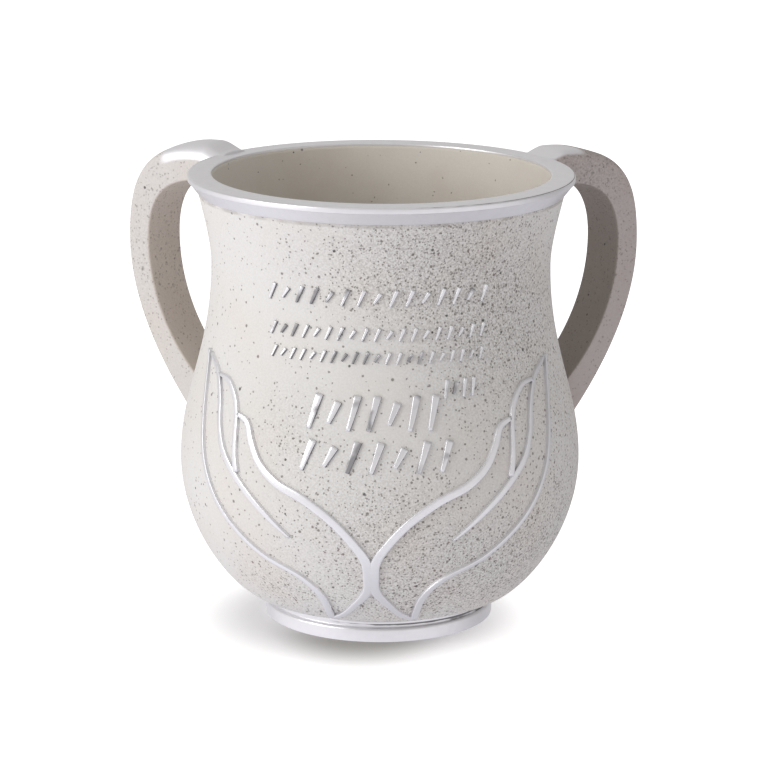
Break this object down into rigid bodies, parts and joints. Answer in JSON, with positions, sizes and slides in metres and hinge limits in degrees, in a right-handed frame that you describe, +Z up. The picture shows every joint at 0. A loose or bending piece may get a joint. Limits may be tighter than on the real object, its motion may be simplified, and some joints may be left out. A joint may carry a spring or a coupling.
{
  "type": "washing cup",
  "caption": "Two-handled hand-washing cup with a round belly, flared silver rim, stepped silver foot and raised silver hands, in speckled pale cast stone.",
  "frame": {"origin": "middle of the flat underside of the foot, on the axis of the bowl", "axes": "+Z up along the axis of the bowl, -Y towards the front with the raised hands, +X and -X towards the handles, which stand behind the sides"},
  "size_m": [0.1516, 0.1159, 0.1317],
  "materials": {
    "speckled_stone": "matt cast stone-filled resin, off-white with fine dark specks",
    "silver_paint": "satin silver paint on the rim, the foot and the raised lines"
  },
  "bodies": {
    "root": {"washing_cup": "speckled_stone"}
  },
  "joints": []
}
